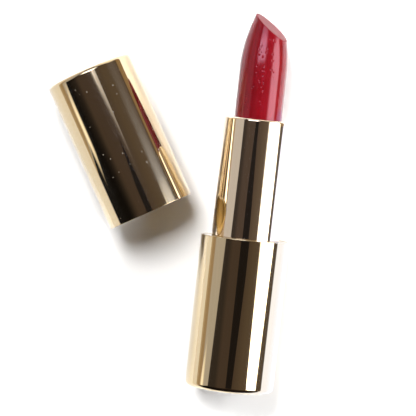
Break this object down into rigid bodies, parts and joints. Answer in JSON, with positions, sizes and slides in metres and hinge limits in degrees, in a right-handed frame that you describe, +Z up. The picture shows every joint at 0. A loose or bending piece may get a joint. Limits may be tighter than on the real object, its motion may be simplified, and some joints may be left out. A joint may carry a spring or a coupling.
{
  "type": "lipstick case",
  "caption": "Twist-up lipstick case in mirror-polished gold metal, lipstick raised, with its pull-off cap lying beside it.",
  "frame": {"origin": "centre of the laid-out stick and cap, at the surface that they lie on", "axes": "+Z up from the surface; +Y along the stick's axis, from the foot of its base to the tip of the lipstick; the cap lies on the -X side"},
  "size_m": [0.065, 0.096, 0.0225],
  "materials": {
    "gold_metal": "gold anodised, mirror polished",
    "moulded_plastic": "natural moulded",
    "cam_plastic": "moulded, greased",
    "liner_plastic": "moulded, ochre",
    "steel_weight": "zinc plated",
    "label_paper": "satin, blank",
    "silicone": "translucent silicone",
    "lipstick": "waxy, satin gloss"
  },
  "bodies": {
    "base": {"base_shell": "gold_metal", "shoulder_ring": "gold_metal", "base_insert": "moulded_plastic", "base_weight": "steel_weight", "bottom_label": "label_paper", "inner_tube": "moulded_plastic", "drag_ring": "silicone"},
    "sleeve": {"sleeve_shell": "gold_metal", "cam_spiral": "cam_plastic"},
    "carrier": {"bullet_cup": "moulded_plastic", "lipstick_bullet": "lipstick"},
    "cap": {"cap_shell": "gold_metal", "cap_liner": "liner_plastic"}
  },
  "joints": [
    {"name": "sleeve_twist", "type": "hinge", "parent": "base", "child": "sleeve", "pos_m": [0.0212, -0.048, 0.01125], "axis": [0, 1, 0], "range_deg": [0, 450]},
    {"name": "bullet_travel", "type": "slide", "parent": "base", "child": "carrier", "axis": [0, 1, 0], "range_m": [-0.0275, 0]},
    {"name": "cap_pull", "type": "slide", "parent": "base", "child": "cap", "axis": [-0.5015, 0.8652, 0], "range_m": [0, 0.0306]}
  ],
  "couplings": [
    {"joint": "bullet_travel", "follows": "sleeve_twist", "m_per_rad": -0.0035014}
  ]
}
